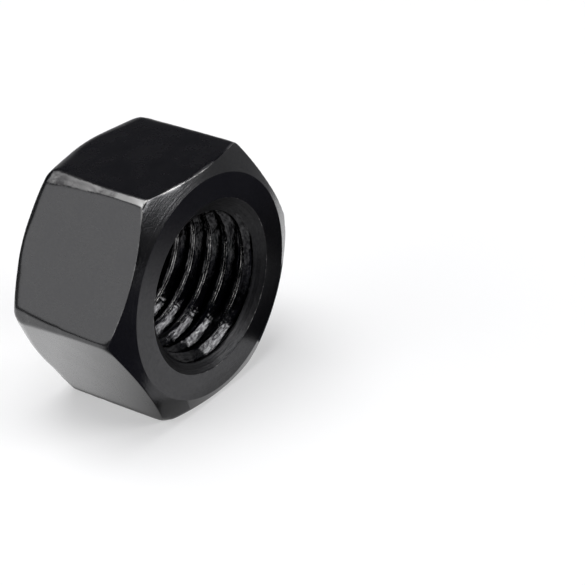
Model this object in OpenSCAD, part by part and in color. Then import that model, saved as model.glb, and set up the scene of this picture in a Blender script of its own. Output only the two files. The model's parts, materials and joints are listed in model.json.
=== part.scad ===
// Plain hex nut with a coarse right-hand metric thread, chamfered on both faces.
// It stands on one flat at z = 0, with its thread along Y and corners of the hexagon on +X and -X.
// The modules shape it lying on a bearing face, with its thread along +Z, and nut_body stands it up.

/* [Hexagon] */
// Distance between opposite flats
across_flats = 24; // [22:0.5:30]
// Distance between the two bearing faces
nut_height = 14.2; // [8:0.1:26]
// Radius worn on the six upright corners
corner_radius = 0.5; // [0.2:0.1:1.5]

/* [Face chamfers] */
// How far the flat bearing face stops short of the flats
bearing_inset = 0.85; // [0.3:0.05:1.5]
// Slope of the chamfer from the bearing face
chamfer_angle = 28; // [15:1:35]

/* [Thread] */
// Thread size, across the roots of the nut's thread
thread_d = 16; // [12:0.5:18]
// Distance from one turn to the next
thread_pitch = 2; // [1:0.25:2.5]
// Included angle of the thread's flanks
flank_angle = 60; // [55:1:60]
// How much wider the drilled hole is than a full thread would leave it
drill_allowance = 0.3; // [0:0.05:0.5]
// Where the thread starts, as a turn about the axis
thread_start = 95; // [0:5:355]

/* [Countersinks] */
// How far each countersink reaches outside the thread
countersink_margin = 0.65; // [0.2:0.05:1]
// Included angle of each countersink
countersink_angle = 100; // [80:5:120]

/* [Hidden] */

steps_per_turn = 36;
corner_steps = 6;
overrun = 1;  // how far a cut passes the faces

hex_r = across_flats / 2 / cos(30);
bearing_d = across_flats - 2 * bearing_inset;

flank_run = tan(flank_angle / 2);
root_flat = thread_pitch / 8;
full_depth = thread_pitch * 5 / 16 / flank_run;
crest_inset = thread_pitch / 8;  // how far the groove's cutter reaches inside the crests
crest_d = thread_d - 2 * full_depth + drill_allowance;
countersink_d = thread_d + 2 * countersink_margin;
countersink_depth = (countersink_d - crest_d) / 2 / tan(countersink_angle / 2);

// Hexagonal bar with its six upright corners rounded
module hexagon_bar() {
    arc_centre_r = hex_r - corner_radius / cos(30);
    linear_extrude(nut_height) polygon([
        for (corner = [0:60:300]) for (i = [0:corner_steps])
            let (turn = corner - 30 + 60 * i / corner_steps)
            arc_centre_r * [cos(corner), sin(corner)] + corner_radius * [cos(turn), sin(turn)]
    ]);
}

// Turned envelope that takes the corners off both faces
module chamfer_envelope() {
    outer_r = hex_r + overrun;
    drop = (outer_r - bearing_d / 2) * tan(chamfer_angle);
    rotate_extrude($fn = 180) polygon([
        [0, 0],
        [bearing_d / 2, 0],
        [outer_r, drop],
        [outer_r, nut_height - drop],
        [bearing_d / 2, nut_height],
        [0, nut_height]
    ]);
}

// Drilled hole with a countersink at each end
module countersunk_hole() {
    rotate_extrude($fn = 180) polygon([
        [0, -overrun],
        [countersink_d / 2, -overrun],
        [countersink_d / 2, 0],
        [crest_d / 2, countersink_depth],
        [crest_d / 2, nut_height - countersink_depth],
        [countersink_d / 2, nut_height],
        [countersink_d / 2, nut_height + overrun],
        [0, nut_height + overrun]
    ]);
}

// One cross-section of the groove's cutter, at a given angle along the helix
function groove_section(angle) =
    let (
        height = thread_pitch * angle / 360,
        inner_r = crest_d / 2 - crest_inset,
        inner_half = root_flat / 2 + (thread_d / 2 - inner_r) * flank_run,
        profile = [
            [inner_r, -inner_half],
            [thread_d / 2, -root_flat / 2],
            [thread_d / 2, root_flat / 2],
            [inner_r, inner_half]
        ]
    )
    [for (p = profile) [p.x * cos(angle), p.x * sin(angle), p.y + height]];

// Helical groove between the crests, from below the nut to above it
module thread_groove() {
    turns = ceil((nut_height + 2 * overrun) / thread_pitch) + 1;
    steps = turns * steps_per_turn;
    last = 4 * steps;
    points = [for (i = [0:steps]) each groove_section(i * 360 / steps_per_turn)];
    sides = [
        for (i = [0:steps - 1]) for (j = [0:3])
            let (a = 4 * i + j, b = 4 * i + (j + 1) % 4)
            each [[a, b, a + 4], [b, b + 4, a + 4]]
    ];
    ends = [[0, 2, 1], [0, 3, 2], [last, last + 1, last + 2], [last, last + 2, last + 3]];
    translate([0, 0, -overrun - thread_pitch / 2]) rotate(thread_start)
        polyhedron(points = points, faces = concat(sides, ends), convexity = 10);
}

module nut_body() {
    color("#202124") translate([0, nut_height / 2, across_flats / 2]) rotate([90, 0, 0]) difference() {
        intersection() {
            hexagon_bar();
            chamfer_envelope();
        }
        countersunk_hole();
        thread_groove();
    }
}

nut_body();
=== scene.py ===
import json
import math

import bpy
import numpy as np
from mathutils import Matrix, Vector, noise


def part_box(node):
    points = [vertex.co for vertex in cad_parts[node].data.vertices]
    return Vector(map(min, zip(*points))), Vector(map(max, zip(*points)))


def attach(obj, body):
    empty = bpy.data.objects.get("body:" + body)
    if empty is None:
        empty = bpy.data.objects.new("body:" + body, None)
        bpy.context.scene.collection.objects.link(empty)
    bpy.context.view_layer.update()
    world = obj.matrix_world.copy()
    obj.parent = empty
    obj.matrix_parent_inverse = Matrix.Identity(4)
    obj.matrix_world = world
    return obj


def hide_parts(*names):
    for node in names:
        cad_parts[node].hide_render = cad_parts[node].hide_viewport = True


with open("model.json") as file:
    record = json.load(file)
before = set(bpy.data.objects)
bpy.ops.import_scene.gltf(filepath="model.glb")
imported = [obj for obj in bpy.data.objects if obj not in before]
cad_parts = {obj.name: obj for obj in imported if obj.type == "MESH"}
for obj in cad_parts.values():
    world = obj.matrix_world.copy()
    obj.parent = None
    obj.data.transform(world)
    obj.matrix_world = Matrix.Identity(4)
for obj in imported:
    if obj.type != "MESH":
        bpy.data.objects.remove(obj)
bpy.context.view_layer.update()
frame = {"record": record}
scene = bpy.context.scene

mm = 0.001
nodeLow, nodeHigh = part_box("nut_body")
acrossFlats = (nodeHigh.z - nodeLow.z) / mm
nutHeight = (nodeHigh.y - nodeLow.y) / mm
nutCentre = (nodeLow + nodeHigh) / 2
threadMount = next(m for m in frame["record"]["mounts"] if m["name"] == "thread")
print("frame loaded: nut", round(acrossFlats, 2), "mm across flats,", round(nutHeight, 2), "mm high")


# camera: a long lens looking down on the nut's upper left side
cameraAim = {
    "azimuth": -51.7,
    "elevation": 30.5,
    "lean": -4.13,  # turned about its own line of sight
    "distance": 266 * mm,
    "slideRight": 13.33 * mm,
    "slideUp": -2.38 * mm,
    "lens": 171.4,
    "clipStart": 10 * mm,
}


def placeCamera(aim):
    a, e = math.radians(aim["azimuth"]), math.radians(aim["elevation"])
    back = Vector((math.sin(a) * math.cos(e), -math.cos(a) * math.cos(e), math.sin(e)))
    level = Vector((math.cos(a), math.sin(a), 0))
    lean = Matrix.Rotation(math.radians(aim["lean"]), 3, back)
    right, up = lean @ level, lean @ back.cross(level)
    spot = nutCentre + back * aim["distance"] + right * aim["slideRight"] + up * aim["slideUp"]
    camera = bpy.data.objects.new("camera", bpy.data.cameras.new("camera"))
    camera.data.lens = aim["lens"]
    camera.data.clip_start = aim["clipStart"]
    camera.matrix_world = Matrix.Translation(spot) @ Matrix((right, up, back)).transposed().to_4x4()
    scene.collection.objects.link(camera)
    scene.camera = camera


placeCamera(cameraAim)
print("camera placed")


# the nut, in millimetres and degrees, shaped with its thread along z and then stood up on a flat
nutPlan = {
    # shape
    "cornerRadius": 0.52,
    "bearingInset": (0.85, 0.6),  # front and back
    "chamferSlope": 28,
    "flatEdgeRadius": (0.14, 1.6),  # where the flats meet the front and the back chamfer
    "flatEdgeBumps": 9,  # how fast that radius comes and goes round the nut
    "flatEdgeUnevenness": 0.2,
    "widestFillet": 0.9,  # share of the chamfer's width that an edge radius may take up
    "bearingEdgeRadius": 0.14,
    "rimRadius": 0.06,
    "threadDiameter": 16,
    "pitch": 2,
    "threadStart": 95,
    "crestDiameter": 2 * threadMount["dims"]["r_mm"],
    "crestWidth": 0.42,
    "rootWidth": 0.2,
    "crestRounding": 0.16,
    "crestBurr": 0.012,
    "burrWidth": 0.1,
    "crestLineWidth": 0.04,  # bright line along both edges of a crest
    "rootRounding": 0.1,
    "countersinkMargin": 0.65,
    "countersinkAngle": 100,
    "threadClearance": 0.12,  # plain cone left between the rim and the first turn
    "threadFadeIn": (7.8, 7.4),  # the cone's radius where the groove starts and where it is full
    "mouthRounding": 0.08,
    "mouthBlend": 0.1,  # over this depth the cone's finish gives way to the thread's
    # rows and columns of the mesh
    "arcColumns": 9,
    "flatColumns": 24,
    "columnCrowding": 1.25,
    "rowEvenness": 9,  # rows crowd at the bends as this falls; it has to stay above 2 pi
    "bendRows": (6, 4, 4),
    "spanRows": (10, 8, 6, 10),
    "threadBendRows": (4, 3),
    "threadSpanRows": (2, 5, 1),
    "mapShares": (0.6, 0.61),  # where the outside ends and the bore starts, up the UV map
    # wear
    "cornerCut": (  # front end, middle and back end of each corner, from +X over the top
        (0.36, 0.24, 0.26),
        (0.14, 0.14, 0.3),
        (0.34, 0.13, 0.62),
        (0.14, 0.07, 0.56),
        (0.15, 0.13, 0.3),
        (0.18, 0.15, 0.25),
    ),
    "cutFade": (4, 2),  # how fast the front and the back end's cut gives way to the middle's
    "cornerRaggedness": 0.05,
    "cornerSoftness": 0.05,
    "cornerReach": 1.5,  # nothing further in than this is touched
    "bareFrom": 0.6,  # a deeper cut shows metal
    "cornerBareness": (0.6, 0.6, 0.84, 0.25, 0.4, 0.6),
    "pointCut": (  # front and back, off the points where each corner runs into a chamfer
        (0.3, 0.2),
        (0.1, 0.4),
        (0.1, 0.02),
        (0.24, 0.3),
        (0.26, 0.3),
        (0.15, 0.2),
    ),
    "pointSoftness": 0.08,
    "pointReach": 2.5,
    "flatEdgeWear": (  # front and back edge of each flat, from the one at the upper right
        (0.7, 0.5),
        (0.8, 0.4),
        (0.5, 0.3),
        (0.1, 0.3),
        (0.1, 0.2),
        (0.3, 0.5),
    ),
    "bearingEdgeWear": 0.1,
    "rimWear": 0.35,
    "crestWear": 0.71,
    "edgeReach": (0.17, 0.25, 0.1),  # of the wear at the flats' edges, bearing edge and rim
    "patchSpan": 2.2,  # wear comes and goes in patches
    "cornerPatchiness": 0.5,
    "flatWaviness": 0.014,
    "wavinessSpan": 7,
    "edgeDings": 0.045,
    "dingSpan": 0.7,
    "dingLevel": 0.1,  # lifted by this, more of the edge is dinged
    "smallDings": (0.5, 2.7),  # how strong they are, and how many times smaller
    "threadTearing": 0.05,
    "tearSpan": 0.26,
    "tearStretch": (5, 5, 0.5),  # the streaks run round the thread
    "tearLevel": (0.3, 1.5),  # lifted by the first and held below the second
    "smallTears": 0.5,
    "crestShelter": 0.85,  # share of the tearing that the crests are spared
}
sixth = math.radians(60)
halfSixth = sixth / 2


def arcCentre(plan):
    return (acrossFlats / 2 - plan["cornerRadius"]) / math.cos(halfSixth)


def outlineAngles(plan):
    # columns crowd into the rounded corners and thin out over the flats
    r = plan["cornerRadius"]
    turns = np.linspace(-halfSixth, halfSixth, plan["arcColumns"])
    arc = np.arctan2(r * np.sin(turns), arcCentre(plan) + r * np.cos(turns))
    steps = np.linspace(0, 1, plan["flatColumns"])[1:]
    flat = arc[-1] + (halfSixth - arc[-1]) * steps ** plan["columnCrowding"]
    sector = np.concatenate([-flat[-2::-1], arc, flat])
    return np.concatenate([sector + sixth * k for k in range(6)])


def fromCorner(angles):
    return np.abs((angles + halfSixth) % sixth - halfSixth)


def outlineRadius(angles, plan):
    r, centre, a = plan["cornerRadius"], arcCentre(plan), fromCorner(angles)
    tangent = math.atan2(r * math.sin(halfSixth), centre + r * math.cos(halfSixth))
    onArc = centre * np.cos(a) + np.sqrt(np.maximum(r * r - (centre * np.sin(a)) ** 2, 0))
    onFlat = acrossFlats / 2 / np.cos(halfSixth - a)
    return np.where(a < tangent, onArc, onFlat)


def roundedPath(corners, radii, bendRows, spanRows, evenness):
    # corners are (columns, 2) arrays of radius and height; each inner one becomes a smooth bend
    rows, spans = [], []
    start = corners[0]
    for k in range(1, len(corners)):
        first = last = corners[k]
        isBend = k < len(corners) - 1
        if isBend:
            into, away = corners[k - 1] - corners[k], corners[k + 1] - corners[k]
            into = into / np.linalg.norm(into, axis=1)[:, None]
            away = away / np.linalg.norm(away, axis=1)[:, None]
            turn = np.arccos(np.clip(-(into * away).sum(1), -1, 1))
            cut = (radii[k - 1] * np.tan(turn / 2))[:, None]
            first, last = corners[k] + into * cut, corners[k] + away * cut
        for s in np.linspace(0, 1, spanRows[k - 1] + 1)[:-1]:
            crowded = s - math.sin(2 * math.pi * s) / evenness  # rows close up towards both bends
            rows.append(start + (first - start) * crowded)
            spans.append(k - 1)
        if isBend:
            for s in np.linspace(0, 1, bendRows[k - 1] + 1)[:-1]:
                rows.append((1 - s) ** 2 * first + 2 * s * (1 - s) * corners[k] + s * s * last)
                spans.append(k - 1 if s < 0.5 else k)
        start = last
    rows.append(corners[-1])
    spans.append(len(corners) - 2)
    return rows, spans


def threadProfile(plan):
    # one pitch from root to root: axial place, radius, nearness to a crest's edge
    crest, root = plan["crestDiameter"] / 2, plan["threadDiameter"] / 2
    crestHalf, half = plan["crestWidth"] / 2, plan["pitch"] / 2
    corners = [(0, crest), (crestHalf, crest), (half - plan["rootWidth"] / 2, root), (half, root)]
    points = [np.array([corner], float) for corner in corners]
    radii = (plan["crestRounding"], plan["rootRounding"])
    counts = plan["threadBendRows"], plan["threadSpanRows"], plan["rowEvenness"]
    path = np.concatenate(roundedPath(points, radii, *counts)[0])
    path[:, 1] -= plan["crestBurr"] * np.exp(-(((path[:, 0] - crestHalf) / plan["burrWidth"]) ** 2))
    lineAt = crestHalf - plan["crestRounding"] / 2
    edge = np.exp(-(((path[:, 0] - lineAt) / plan["crestLineWidth"]) ** 2))
    there = np.column_stack([path, edge])
    back = there[1:-1][::-1] * [-1, 1, 1]
    return np.concatenate([back, there])


def smoothMax(a, b, softness):
    blend = np.clip(softness - np.abs(a - b), 0, None)
    return np.maximum(a, b) + blend**2 / (4 * softness)


def shellRows(plan, angles, side):
    # half of the outside, from the middle of the flats over one face to where the thread starts
    wall = outlineRadius(angles, plan)
    bearing = acrossFlats / 2 - plan["bearingInset"][side]
    rim = plan["threadDiameter"] / 2 + plan["countersinkMargin"]
    bottom = plan["threadDiameter"] / 2 + plan["threadClearance"]
    coneDepth = (rim - bottom) / math.tan(math.radians(plan["countersinkAngle"] / 2))
    slope = math.radians(plan["chamferSlope"])
    drop = (wall - bearing) * math.tan(slope)

    def ring(radius, height):
        return np.column_stack([np.broadcast_to(value, wall.shape) for value in (radius, height)])

    corners = [
        ring(wall, nutHeight / 2),
        ring(wall, nutHeight - drop),
        ring(bearing, nutHeight),
        ring(rim, nutHeight),
        ring(bottom, nutHeight - coneDepth),
    ]
    around = [Vector((math.cos(a), math.sin(a), 0.3)) * plan["flatEdgeBumps"] for a in angles]
    uneven = np.array([noise.noise(place) for place in around])
    # a wide edge radius is held back where the chamfer is too narrow for it
    room = plan["widestFillet"] * (wall - bearing) / math.cos(slope) / math.tan((math.pi / 2 - slope) / 2)
    flatEdge = plan["flatEdgeRadius"][side] * (1 + plan["flatEdgeUnevenness"] * uneven)
    flatEdge = np.minimum(flatEdge, room)
    radii = (flatEdge, plan["bearingEdgeRadius"], plan["rimRadius"])
    counts = plan["bendRows"], plan["spanRows"], plan["rowEvenness"]
    rows, spans = roundedPath(corners, radii, *counts)
    nearness = []
    for row in rows:
        gaps = [np.linalg.norm(row - corner, axis=1) for corner in corners[1:4]]
        nearness.append([np.exp(-((gap / reach) ** 2)) for gap, reach in zip(gaps, plan["edgeReach"])])
    return np.array(rows), np.array(spans), np.array(nearness).transpose(1, 0, 2), coneDepth


def boreGrid(plan, angles, coneDepth):
    # rows follow the helix, so a row meets the next turn's row where the columns close up
    pitch, profile = plan["pitch"], threadProfile(plan)
    firstCrest = -pitch / 2 - pitch * plan["threadStart"] / 360
    # enough turns to run past both countersinks
    turnsBelow = math.floor((coneDepth - pitch - firstCrest) / pitch) - 1
    turnCount = math.ceil((nutHeight - 2 * coneDepth) / pitch) + 4
    turns = turnsBelow + np.arange(turnCount)
    along = (firstCrest + turns[:, None] * pitch + profile[:, 0]).ravel()
    z = along + pitch * angles[:, None] / (2 * math.pi)
    threadRadius = np.broadcast_to(np.tile(profile[:, 1], turnCount), z.shape)
    rim = plan["threadDiameter"] / 2 + plan["countersinkMargin"]
    coneRun = math.tan(math.radians(plan["countersinkAngle"] / 2))
    coneRadius = rim - np.minimum(z, nutHeight - z) * coneRun
    fadeStart, fadeEnd = plan["threadFadeIn"]
    depthShare = np.clip((fadeStart - coneRadius) / (fadeStart - fadeEnd), 0, 1)
    crest = plan["crestDiameter"] / 2
    threadRadius = crest + (threadRadius - crest) * depthShare
    radius = smoothMax(threadRadius, coneRadius, plan["mouthRounding"])
    coneShare = np.clip((coneRadius - threadRadius) / plan["mouthBlend"] + 0.5, 0, 1)
    edge = np.tile(profile[:, 2], turnCount) * (1 - coneShare)
    return z, radius, coneShare, edge, len(profile)


def shapeNut(plan):
    angles = outlineAngles(plan)
    columns = len(angles)
    (front, spans, nearFront, coneDepth), (back, _, nearBack, _) = (
        shellRows(plan, angles, side) for side in (0, 1)
    )
    mirrored = back[1:] * [1, -1] + [0, nutHeight]
    rows = np.concatenate([front[::-1], mirrored])
    spans = np.concatenate([spans[::-1], spans[1:]])
    near = np.concatenate([nearFront[:, ::-1], nearBack[:, 1:]], axis=1).reshape(3, -1)
    z, radius, coneShare, boreEdge, perPitch = boreGrid(plan, angles, coneDepth)

    # bore points outside the threaded stretch, or close to its ends, fall onto the ends of the countersinks
    shellCount = len(rows) * columns
    tooClose = 0.015
    above, below = z > nutHeight - coneDepth - tooClose, z < coneDepth + tooClose
    inside = ~(above | below)
    index = np.full(z.shape, -1)
    index[inside] = shellCount + np.arange(inside.sum())
    column = np.broadcast_to(np.arange(columns)[:, None], z.shape)
    index[above] = column[above]
    index[below] = (len(rows) - 1) * columns + column[below]

    r = np.concatenate([rows[:, :, 0].ravel(), radius[inside]])
    a = np.concatenate([np.tile(angles, len(rows)), angles[column[inside]]])
    h = np.concatenate([rows[:, :, 1].ravel(), z[inside]])
    points = np.column_stack([r * np.cos(a), r * np.sin(a), h])
    boreCount = inside.sum()
    known = {
        "flatEdge": np.concatenate([near[0], np.zeros(boreCount)]),
        "bearingEdge": np.concatenate([near[1], np.zeros(boreCount)]),
        "rim": np.concatenate([near[2], np.zeros(boreCount)]),
        "crestEdge": np.concatenate([np.zeros(shellCount), boreEdge[inside]]),
        "turned": np.concatenate([np.repeat(spans > 0, columns) * 1.0, coneShare[inside]]),
        "bore": np.concatenate([np.zeros(shellCount), 1 - coneShare[inside]]),
    }

    # each corner of a face is (point, place round the nut, place along the profile),
    # and the last two are its place on the UV map
    steps = np.linalg.norm(np.diff(rows.mean(axis=1), axis=0), axis=1)
    shellEnd, boreStart = plan["mapShares"]
    threaded = nutHeight - 2 * coneDepth
    shellAlong = np.concatenate([[0], np.cumsum(steps)]) / steps.sum() * shellEnd
    boreAlong = boreStart + (1 - boreStart) * np.clip(z - coneDepth, 0, threaded) / threaded
    faces, slots, placesOnMap = [], [], []
    turnedSlot, threadSlot = 1, 2  # and 0 for the flats; the countersinks go with the thread

    def addFace(corners, slot):
        kept = [c for n, c in enumerate(corners) if c[0] != corners[n - 1][0]]
        if len({c[0] for c in kept}) > 2:
            faces.append([int(c[0]) for c in kept])
            placesOnMap.extend((c[1], c[2]) for c in kept)
            slots.append(slot)

    for i in range(columns):
        n = (i + 1) % columns
        left, right = i / columns, (i + 1) / columns
        for k in range(len(rows) - 1):
            up, down = k * columns, (k + 1) * columns
            onCone = max(spans[k], spans[k + 1]) > 2
            slot = threadSlot if onCone else min(spans[k], spans[k + 1], turnedSlot)
            addFace(
                (
                    (down + i, left, shellAlong[k + 1]),
                    (down + n, right, shellAlong[k + 1]),
                    (up + n, right, shellAlong[k]),
                    (up + i, left, shellAlong[k]),
                ),
                slot,
            )
        shift = perPitch if n == 0 else 0
        for j in range(z.shape[1] - 1 - shift):
            addFace(
                (
                    (index[i, j], left, boreAlong[i, j]),
                    (index[i, j + 1], left, boreAlong[i, j + 1]),
                    (index[n, j + 1 + shift], right, boreAlong[n, j + 1 + shift]),
                    (index[n, j + shift], right, boreAlong[n, j + shift]),
                ),
                threadSlot,
            )
    return points, faces, slots, placesOnMap, known


def softly(excess, softness):
    return (excess + np.sqrt(excess**2 + softness**2)) / 2


def cutCorners(points, plan):
    # each corner of the hexagon is worn to a narrow flat, and its two ends to small facets
    angle = np.arctan2(points[:, 1], points[:, 0]) % (2 * math.pi)
    nearest = np.round(angle / sixth).astype(int) % 6
    front, middle, back = np.array(plan["cornerCut"])[nearest].T
    share = points[:, 2] / nutHeight
    # every corner reads the noise at a place of its own
    along = [Vector((k * 5, z, 1)) for k, z in zip(nearest.tolist(), points[:, 2].tolist())]
    ragged = np.array([noise.noise(place) for place in along])
    frontFade, backFade = plan["cutFade"]
    cut = middle + (front - middle) * share**frontFade + (back - middle) * (1 - share) ** backFade
    cut += plan["cornerRaggedness"] * ragged
    outward = np.column_stack([np.cos(nearest * sixth), np.sin(nearest * sixth)])
    reach = (points[:, :2] * outward).sum(1)
    sharp = acrossFlats / 2 / math.cos(halfSixth)
    excess = softly(reach - sharp + cut, plan["cornerSoftness"])
    excess[reach < sharp - plan["cornerReach"]] = 0
    points[:, :2] -= outward * excess[:, None]
    bevel = np.clip(excess / plan["cornerSoftness"] - plan["bareFrom"], 0, 1)

    slope = math.radians(plan["chamferSlope"])
    lean = (math.pi / 2 - slope) / 2
    tip = arcCentre(plan) + plan["cornerRadius"]
    up = np.sign(points[:, 2] - nutHeight / 2)
    bearing = acrossFlats / 2 - np.where(up > 0, *plan["bearingInset"])
    tipHeight = nutHeight / 2 - (tip - bearing) * math.tan(slope)
    front, back = np.array(plan["pointCut"])[nearest].T
    limit = tip * math.cos(lean) + tipHeight * math.sin(lean) - np.where(up > 0, front, back)
    height = np.abs(points[:, 2] - nutHeight / 2)
    reach = (points[:, :2] * outward).sum(1)
    excess = softly(reach * math.cos(lean) + height * math.sin(lean) - limit, plan["pointSoftness"])
    excess[reach < sharp - plan["pointReach"]] = 0
    points[:, :2] -= outward * (excess * math.cos(lean))[:, None]
    points[:, 2] -= up * excess * math.sin(lean)
    return bevel * np.array(plan["cornerBareness"])[nearest]


def wearNut(points, normals, known, plan):
    # everything here is taken off the ideal surface, in millimetres
    angle = np.arctan2(points[:, 1], points[:, 0]) % (2 * math.pi)
    outside = 1 - np.maximum(known["turned"], known["bore"])
    ofFlat = np.floor(angle / sixth).astype(int) % 6
    wornFront, wornBack = np.array(plan["flatEdgeWear"])[ofFlat].T
    flatWear = np.where(points[:, 2] > nutHeight / 2, wornFront, wornBack)

    def unevenness(spans, seed):
        scaled = points / np.array(spans) + seed
        return np.array([noise.noise(Vector(p)) for p in scaled.tolist()])

    wavy = unevenness((plan["wavinessSpan"],) * 3, seed=11)
    strength, times = plan["smallDings"]
    smallDing = unevenness((plan["dingSpan"] / times,) * 3, seed=5)
    ding = unevenness((plan["dingSpan"],) * 3, seed=3) + strength * smallDing
    streak = unevenness([plan["tearSpan"] * stretch for stretch in plan["tearStretch"]], seed=7)
    tear = unevenness((plan["tearSpan"],) * 3, seed=9)
    patchy = unevenness((plan["patchSpan"],) * 3, seed=13)
    crest = known.pop("crestEdge")
    shares = (
        outside * cutCorners(points, plan) * (1 + plan["cornerPatchiness"] * patchy),
        known.pop("flatEdge") * flatWear * (1 + patchy),
        known.pop("bearingEdge") * plan["bearingEdgeWear"],
        known.pop("rim") * plan["rimWear"] * (1 + patchy),
        crest * plan["crestWear"],
    )
    edge = np.clip(np.max(shares, axis=0), 0, 1)
    known["edge"] = edge
    depth = outside * plan["flatWaviness"] * (1 + wavy) / 2
    depth += plan["edgeDings"] * edge * (1 - known["bore"]) * np.clip(ding + plan["dingLevel"], 0, 1)
    lift, most = plan["tearLevel"]
    torn = np.clip(lift + streak + plan["smallTears"] * tear, 0, most)
    torn *= 1 - plan["crestShelter"] * crest
    depth += plan["threadTearing"] * known["bore"] * torn
    return points - normals * depth[:, None]


def standUp(points):
    return np.column_stack([points[:, 0], nutHeight / 2 - points[:, 2], acrossFlats / 2 + points[:, 1]]) * mm


def buildNut(plan):
    points, faces, slots, placesOnMap, known = shapeNut(plan)
    mesh = bpy.data.meshes.new("nut")
    mesh.from_pydata(points.tolist(), [], faces)
    normals = np.empty(len(points) * 3)
    mesh.vertex_normals.foreach_get("vector", normals)
    worn = standUp(wearNut(points, normals.reshape(-1, 3), known, plan))
    mesh.vertices.foreach_set("co", worn.ravel())
    mesh.polygons.foreach_set("material_index", slots)
    for name, values in known.items():
        mesh.attributes.new(name, "FLOAT", "POINT").data.foreach_set("value", values)
    mesh.uv_layers.new(name="OFBake").data.foreach_set("uv", np.array(placesOnMap).ravel())
    mesh.shade_smooth()
    mesh.update()
    nut = bpy.data.objects.new("nut", mesh)
    scene.collection.objects.link(nut)
    return nut


nut = buildNut(nutPlan)
print("nut shaped:", len(nut.data.vertices), "points,", len(nut.data.polygons), "faces")


# finishes, with lengths in millimetres
flatFinish = {
    "oxide": (0.046, 0.046, 0.0475),
    "oxideWorn": (0.0565, 0.0565, 0.0575),
    "steel": (0.24, 0.238, 0.235),
    "roughness": 0.27,
    "steelRoughness": 0.36,
    "grainAcross": 0.1,
    "grainAlong": 0.3,
    "grainDepth": 0.0028,
    "grainTint": 2,
    "bare": 0.85,
}
turnedFinish = {
    "oxide": (0.043, 0.043, 0.045),
    "oxideWorn": (0.062, 0.062, 0.064),
    "steel": (0.3, 0.297, 0.29),
    "roughness": 0.22,
    "steelRoughness": 0.34,
    "grainAcross": 0.18,
    "grainAlong": 0.18,
    "grainDepth": 0.011,
    "grainTint": 3,
    "markSpacing": 0.16,
    "markDepth": 0.0045,
    "bare": 0.7,
}
boreFinish = {
    # the bore's oxide is far darker than the outside's: partly a dark oil film, partly painted shade in the
    # hollow of the thread
    "oxide": (0.008, 0.008, 0.0088),
    "oxideWorn": (0.053, 0.053, 0.0545),
    "steel": (0.5, 0.49, 0.48),
    "roughness": 0.11,
    "coneRoughness": 0.42,  # this and coneTint are for the countersinks
    "steelRoughness": 0.25,
    "grainAcross": 0.5,
    "grainAlong": 0.14,
    "grainDepth": 0.028,
    "grainTint": 3.3,
    "coneTint": 0.5,
    "markSpacing": 0.3,
    "markDepth": 0.06,
    "bare": 0.9,
}
wearBreakup = 1.2  # in all three: how far noise moves the edge of the bare metal
patchRoughness = 0.1  # and how far its patches change the roughness


def addNode(tree, kind, **settings):
    made = tree.nodes.new(kind)
    for name, value in settings.items():
        if hasattr(made, name):
            setattr(made, name, value)
        else:
            made.inputs[name.replace("_", " ")].default_value = value
    return made


def startGroup(name, inputs, outputs):
    # every input and output is a plain value
    group = bpy.data.node_groups.new(name, "ShaderNodeTree")
    for label, value in inputs.items():
        given = group.interface.new_socket(label, in_out="INPUT", socket_type="NodeSocketFloat")
        given.default_value = value
    for label in outputs:
        group.interface.new_socket(label, in_out="OUTPUT", socket_type="NodeSocketFloat")
    return group, group.nodes.new("NodeGroupInput").outputs, group.nodes.new("NodeGroupOutput").inputs


def maths(tree, operation, first, second=None, clamp=False):
    made = addNode(tree, "ShaderNodeMath", operation=operation, use_clamp=clamp)
    for socket, value in zip(made.inputs, (first, second)):
        if isinstance(value, bpy.types.NodeSocket):
            tree.links.new(value, socket)
        elif value is not None:
            socket.default_value = value
    return made.outputs[0]


def readMask(tree, name):
    return addNode(tree, "ShaderNodeAttribute", attribute_name=name).outputs["Fac"]


def makeGrain():
    # fine surface texture, drawn out across or along the thread's axis as its two spans say
    group, given, result = startGroup("fineGrain", {"Across": 0.1, "Along": 0.1}, ("Height", "Patches"))
    links = group.links
    coords = addNode(group, "ShaderNodeTexCoord")
    inMm = addNode(group, "ShaderNodeVectorMath", operation="SCALE", Scale=1 / mm)
    links.new(coords.outputs["Object"], inMm.inputs[0])
    spans = addNode(group, "ShaderNodeCombineXYZ")
    for axis, label in (("X", "Across"), ("Y", "Along"), ("Z", "Across")):
        links.new(given[label], spans.inputs[axis])
    spread = addNode(group, "ShaderNodeVectorMath", operation="DIVIDE")
    links.new(inMm.outputs[0], spread.inputs[0])
    links.new(spans.outputs[0], spread.inputs[1])
    grain = addNode(group, "ShaderNodeTexNoise", Scale=1, Detail=3, Roughness=0.6)
    links.new(spread.outputs[0], grain.inputs["Vector"])
    patchesPerMm = 0.35
    patches = addNode(group, "ShaderNodeTexNoise", Scale=patchesPerMm, Detail=5, Roughness=0.62)
    links.new(inMm.outputs[0], patches.inputs["Vector"])
    links.new(grain.outputs[0], result["Height"])
    links.new(patches.outputs[0], result["Patches"])
    return group


def makeEdgeWear():
    # bare metal near the edges, broken up by noise
    group, given, result = startGroup("edgeWear", {"Amount": 0.5, "Breakup": 0.3}, ("Bare",))
    links = group.links
    specklesPerMm, bareStarts, fullyBare = 2, 0.3, 0.95
    coords = addNode(group, "ShaderNodeTexCoord")
    speckle = addNode(group, "ShaderNodeTexNoise", Scale=specklesPerMm / mm, Detail=6, Roughness=0.7)
    links.new(coords.outputs["Object"], speckle.inputs["Vector"])
    centred = maths(group, "SUBTRACT", speckle.outputs[0], 0.5)
    broken = maths(group, "MULTIPLY", centred, given["Breakup"])
    lifted = maths(group, "ADD", readMask(group, "edge"), broken)
    ramp = addNode(group, "ShaderNodeMapRange", interpolation_type="SMOOTHSTEP")
    ramp.inputs["From Min"].default_value = bareStarts
    ramp.inputs["From Max"].default_value = fullyBare
    links.new(lifted, ramp.inputs["Value"])
    links.new(maths(group, "MULTIPLY", ramp.outputs[0], given["Amount"], clamp=True), result["Bare"])
    return group


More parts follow.
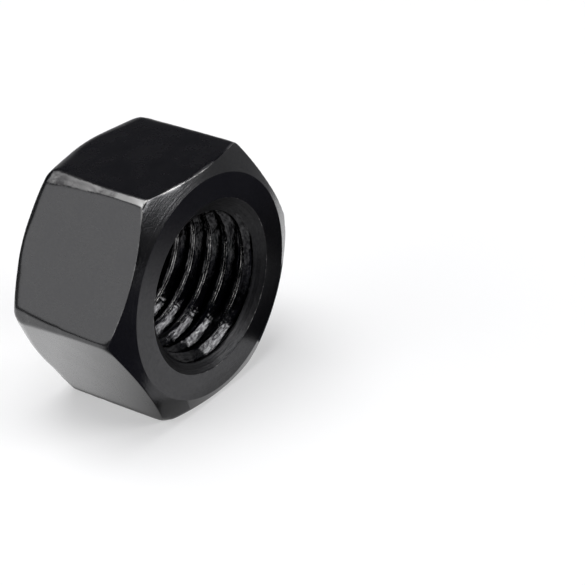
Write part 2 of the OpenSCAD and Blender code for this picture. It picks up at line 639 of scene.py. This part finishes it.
def makeTurningMarks():
    # uneven rings round the thread's axis
    group, given, result = startGroup("turningMarks", {"Spacing": 0.2}, ("Height",))
    links = group.links
    coords = addNode(group, "ShaderNodeTexCoord")
    fromAxis = addNode(group, "ShaderNodeVectorMath", operation="SUBTRACT")
    fromAxis.inputs[1].default_value = nutCentre
    links.new(coords.outputs["Object"], fromAxis.inputs[0])
    flattened = addNode(group, "ShaderNodeVectorMath", operation="MULTIPLY")
    flattened.inputs[1].default_value = (1 / mm, 0, 1 / mm)
    links.new(fromAxis.outputs[0], flattened.inputs[0])
    radius = addNode(group, "ShaderNodeVectorMath", operation="LENGTH")
    links.new(flattened.outputs[0], radius.inputs[0])
    lines = addNode(group, "ShaderNodeTexNoise", noise_dimensions="1D", Scale=1, Detail=2, Roughness=0.5)
    links.new(maths(group, "DIVIDE", radius.outputs["Value"], given["Spacing"]), lines.inputs["W"])
    links.new(lines.outputs[0], result["Height"])
    return group


fineGrain, edgeWear, turningMarks = makeGrain(), makeEdgeWear(), makeTurningMarks()


def placeGroup(tree, group, **values):
    placed = addNode(tree, "ShaderNodeGroup", node_tree=group)
    for name, value in values.items():
        placed.inputs[name].default_value = value
    return placed.outputs


def mixColours(tree, share, first, second):
    mix = addNode(tree, "ShaderNodeMix", data_type="RGBA")
    tree.links.new(share, mix.inputs["Factor"])
    # inputs 6 and 7 and output 2 are the node's colours
    for socket, value in ((mix.inputs[6], first), (mix.inputs[7], second)):
        if isinstance(value, bpy.types.NodeSocket):
            tree.links.new(value, socket)
        else:
            socket.default_value = (*value, 1)
    return mix.outputs[2]


def makeSteel(name, finish):
    material = bpy.data.materials.new(name)
    material.use_nodes = True
    tree = material.node_tree
    links = tree.links
    surface = tree.nodes["Principled BSDF"]
    surface.inputs["Metallic"].default_value = 1
    grain = placeGroup(tree, fineGrain, Across=finish["grainAcross"], Along=finish["grainAlong"])
    bare = placeGroup(tree, edgeWear, Amount=finish["bare"], Breakup=wearBreakup)["Bare"]
    tint = finish["grainTint"]
    uneven = maths(tree, "SUBTRACT", grain["Patches"], 0.5)
    dull = maths(tree, "ADD", maths(tree, "MULTIPLY", uneven, patchRoughness), finish["roughness"])
    if "coneTint" in finish:
        cone = readMask(tree, "turned")
        tint = maths(tree, "ADD", maths(tree, "MULTIPLY", cone, finish["coneTint"] - tint), tint)
        rougher = maths(tree, "MULTIPLY", cone, finish["coneRoughness"] - finish["roughness"])
        dull = maths(tree, "ADD", dull, rougher)
    tinted = maths(tree, "MULTIPLY", maths(tree, "SUBTRACT", grain["Height"], 0.5), tint)
    spread = maths(tree, "ADD", grain["Patches"], tinted, clamp=True)
    oxide = mixColours(tree, spread, finish["oxide"], finish["oxideWorn"])
    links.new(mixColours(tree, bare, oxide, finish["steel"]), surface.inputs["Base Color"])
    gain = maths(tree, "MULTIPLY", bare, finish["steelRoughness"] - finish["roughness"])
    links.new(maths(tree, "ADD", dull, gain), surface.inputs["Roughness"])
    bump = addNode(tree, "ShaderNodeBump", Distance=finish["grainDepth"] * mm)
    links.new(grain["Height"], bump.inputs["Height"])
    top = bump
    if "markSpacing" in finish:
        rings = placeGroup(tree, turningMarks, Spacing=finish["markSpacing"])["Height"]
        top = addNode(tree, "ShaderNodeBump", Distance=finish["markDepth"] * mm)
        links.new(maths(tree, "MULTIPLY", rings, readMask(tree, "turned")), top.inputs["Height"])
        links.new(bump.outputs[0], top.inputs["Normal"])
    links.new(top.outputs[0], surface.inputs["Normal"])
    return material


nut.data.materials.append(makeSteel("blackenedFlats", flatFinish))
nut.data.materials.append(makeSteel("blackenedTurning", turnedFinish))
# the thread's and countersinks' steel, with painted shade in its darker oxide
nut.data.materials.append(makeSteel("oiledThreadPaintedShade", boreFinish))
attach(nut, "root")
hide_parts("nut_body")
print("nut finished in", len(nut.data.materials), "steels")


# floor, sky, lamps and the cards that the metal reflects, in metres; directions are from the nut
stage = {
    "floorSize": 3,
    "floorColour": (0.5, 0.5, 0.5),
    "floorLift": 0.42,  # what the camera and mirrors see beyond the lit colour
    "skyColour": (0.02, 0.02, 0.039),
    "backdrop": (1, 1, 1),  # a low pale band all round, which fades above
    "bandTop": (0.1, 0.2),  # upward part of the direction where it starts to fade and is gone
    "cardColour": (0.02, 0.02, 0.02),
    "cardHeight": 0.3 * mm,
    "mattRoughness": 0.9,
    "mattSheen": 0.1,
    "wallRadius": 1,
    "wallPanels": 24,
}
softboxes = {
    "overhead": {"towards": (-0.04, 0.16, 1), "distance": 0.6, "size": (0.52, 0.52), "radiance": 4.5},
    "leftBack": {"towards": (-0.778, 0.534, 0.42), "distance": 0.7, "size": (0.7, 0.5), "radiance": 2},
    "frontRight": {"towards": (0.337, -0.833, 0.48), "distance": 0.6, "size": (0.32, 0.15), "radiance": 10.8},
}
# screens that only the metal sees, as painted reflections: a grey glow on one side, painted darkness round
# the rest
screens = {  # bearings in degrees from +X where it starts and ends, height and the colour it shows
    "greyScreen": (-60, 75, 0.36, (0.42, 0.42, 0.43)),
    "darkScreen": (75, 300, 0.28, (0.01, 0.01, 0.015)),
}
# cards that only the metal sees, as painted reflections: the pale and glowing ones a painted highlight of a
# lit floor, the dark ones painted shade round the nut
floorCards = {  # lowest and highest x and y, and the colour it shows
    "cardFront": ((-0.006, 0.024), (-0.3, -0.032), (0.08, 0.08, 0.12)),
    "cardNear": ((-0.006, 0.009), (-0.032, -0.009), (0.9, 0.9, 0.91)),
    "cardFading": ((0.009, 0.024), (-0.032, -0.017), (0.9, 0.9, 0.92)),
    # dark to the right of the nut: standing for a neighbouring nut, and painted shade
    "cardNeighbourAndShade": ((0.009, 0.024), (-0.017, 0.0078), (0.008, 0.008, 0.013)),
    "cardRight": ((0.024, 0.05), (-0.3, -0.026), (0.07, 0.07, 0.1)),
    "cardRightNear": ((0.024, 0.05), (-0.026, -0.008), (0.01, 0.01, 0.015)),
    "cardFarRight": ((0.05, 0.5), (-0.3, 0.3), (0.3, 0.3, 0.31)),
    "cardBack": ((-0.004, 0.05), (0.0078, 0.3), (0, 0, 0)),
    "cardBackLeft": ((-0.045, -0.004), (0.045, 0.3), (0.02, 0.02, 0.03)),
    "cardLeft": ((-0.3, -0.045), (-0.0085, 0.3), (0.02, 0.02, 0.03)),
    # these two glow brighter than white: a painted highlight of a brightly lit floor
    "cardBehind": ((-0.035, -0.004), (0.009, 0.045), (1.68, 1.68, 1.69)),
    "cardBeside": ((-0.035, -0.0073), (-0.0085, 0.009), (1.68, 1.68, 1.69)),
    # painted shadow: the nut's contact shadow on the floor, as its lower flats reflect it
    "cardUnderShadow": ((-0.0073, -0.004), (-0.0085, 0.0078), (0.36, 0.36, 0.36)),
    "cardFrontLeft": ((-0.3, -0.0095), (-0.3, -0.0085), (0.06, 0.06, 0.09)),
}
# the fading ones paint a gradient of light into the reflection
cardFades = {  # how much of its colour shows at each corner, for those that fade
    "cardFading": (1, 0.06, 0.06, 1),
    "cardBeside": (0, 0, 1, 1),
}


def addPlane(name, low, high, height=0):
    mesh = bpy.data.meshes.new(name)
    corners = [(low[0], low[1], height), (high[0], low[1], height), (high[0], high[1], height)]
    mesh.from_pydata([*corners, (low[0], high[1], height)], [], [(0, 1, 2, 3)])
    plane = bpy.data.objects.new(name, mesh)
    scene.collection.objects.link(plane)
    return plane


def seenDirectly(tree):
    # 1 for the camera and for mirrors, 0 for the light it throws on other things
    path = addNode(tree, "ShaderNodeLightPath").outputs
    return maths(tree, "MAXIMUM", path["Is Camera Ray"], path["Is Glossy Ray"])


def coverWithMatt(thing, name, colour, glow):
    # a matt colour that also glows by itself, as strongly as the socket it gives back says
    material = bpy.data.materials.new(name)
    material.use_nodes = True
    sockets = material.node_tree.nodes["Principled BSDF"].inputs
    sockets["Base Color"].default_value = (*colour, 1)
    sockets["Roughness"].default_value = stage["mattRoughness"]
    sockets["Specular IOR Level"].default_value = stage["mattSheen"]
    sockets["Emission Color"].default_value = (*glow, 1)
    thing.data.materials.append(material)
    return material.node_tree, sockets["Emission Strength"]


def layFloor():
    half = stage["floorSize"] / 2
    floor = addPlane("floor", (-half, -half), (half, half))
    tree, strength = coverWithMatt(floor, "paleFloor", stage["floorColour"], (1, 1, 1))
    tree.links.new(maths(tree, "MULTIPLY", seenDirectly(tree), stage["floorLift"]), strength)


def hideFromCamera(card, colour, shares=None):
    # a card that only shows as a reflection in the metal: a painted reflection, glowing as its colour says
    tree, strength = coverWithMatt(card, card.name, stage["cardColour"], colour)
    shares = shares or [1] * len(card.data.vertices)
    card.data.attributes.new("share", "FLOAT", "POINT").data.foreach_set("value", shares)
    tree.links.new(readMask(tree, "share"), strength)
    card.visible_camera = card.visible_diffuse = False
    card.visible_shadow = card.visible_transmission = False


def standScreen(name, start, end, height, colour):
    # part of a round screen outside the lamps, from one bearing to another in degrees from +X, that only
    # shows as a painted reflection in the metal
    mesh = bpy.data.meshes.new(name)
    turns = np.radians(np.linspace(start, end, stage["wallPanels"] + 1))
    foot = [(stage["wallRadius"] * math.cos(a), stage["wallRadius"] * math.sin(a), 0) for a in turns]
    top = [(x, y, height) for x, y, _ in foot]
    count = len(foot)
    quads = [(k, k + 1, count + k + 1, count + k) for k in range(count - 1)]
    mesh.from_pydata(foot + top, [], quads)
    wall = bpy.data.objects.new(name, mesh)
    scene.collection.objects.link(wall)
    hideFromCamera(wall, colour)


def paintSky():
    scene.world = bpy.data.worlds.new("studio")
    scene.world.use_nodes = True
    tree = scene.world.node_tree
    coords = addNode(tree, "ShaderNodeTexCoord")
    split = addNode(tree, "ShaderNodeSeparateXYZ")
    tree.links.new(coords.outputs["Generated"], split.inputs[0])
    ramp = addNode(tree, "ShaderNodeMapRange", interpolation_type="SMOOTHSTEP")
    ramp.inputs["From Min"].default_value, ramp.inputs["From Max"].default_value = stage["bandTop"]
    tree.links.new(split.outputs["Z"], ramp.inputs["Value"])
    colour = mixColours(tree, ramp.outputs[0], stage["backdrop"], stage["skyColour"])
    tree.links.new(colour, tree.nodes["Background"].inputs["Color"])


def hangSoftbox(name, box):
    lamp = bpy.data.lights.new(name, "AREA")
    lamp.shape = "RECTANGLE"
    lamp.size, lamp.size_y = box["size"]
    lamp.energy = box["radiance"] * math.pi * lamp.size * lamp.size_y
    holder = bpy.data.objects.new(name, lamp)
    towards = Vector(box["towards"]).normalized()
    holder.location = nutCentre + towards * box["distance"]
    holder.rotation_euler = towards.to_track_quat("Z", "Y").to_euler()
    scene.collection.objects.link(holder)


layFloor()
paintSky()
for name, numbers in screens.items():
    standScreen(name, *numbers)
for name, (across, deep, colour) in floorCards.items():
    card = addPlane(name, (across[0], deep[0]), (across[1], deep[1]), stage["cardHeight"])
    hideFromCamera(card, colour, cardFades.get(name))
for name, box in softboxes.items():
    hangSoftbox(name, box)
scene.view_settings.view_transform = "Standard"
print("studio set:", len(softboxes), "softboxes")
